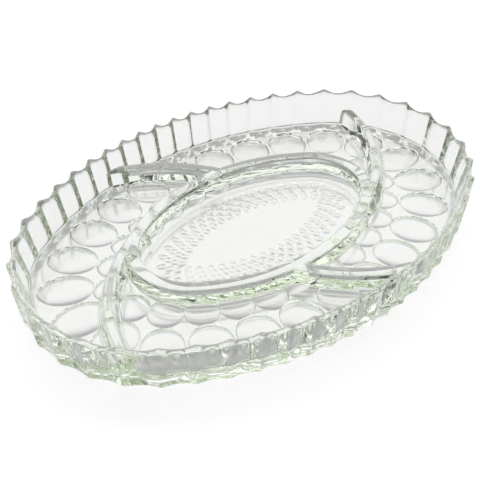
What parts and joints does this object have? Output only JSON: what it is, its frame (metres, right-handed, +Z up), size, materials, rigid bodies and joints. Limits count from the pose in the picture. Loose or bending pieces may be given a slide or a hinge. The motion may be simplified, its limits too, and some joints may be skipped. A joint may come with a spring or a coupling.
{
  "type": "relish tray",
  "caption": "Low oval pressed-glass relish tray with a fluted wall, a raised oval ring in the middle and curved dividers that part the space around it.",
  "frame": {"origin": "middle of the base, on the face the tray stands on", "axes": "+X along the length, +Y across the tray towards its far side in the picture, +Z up out of the compartments"},
  "size_m": [0.33, 0.227, 0.032],
  "materials": {
    "clear_glass": "smooth, fire-polished"
  },
  "bodies": {
    "root": {"outer_wall": "clear_glass", "floor": "clear_glass", "medallion": "clear_glass", "centre_ring": "clear_glass", "rear_divider": "clear_glass", "right_divider": "clear_glass", "front_divider": "clear_glass", "left_divider": "clear_glass"}
  },
  "joints": []
}
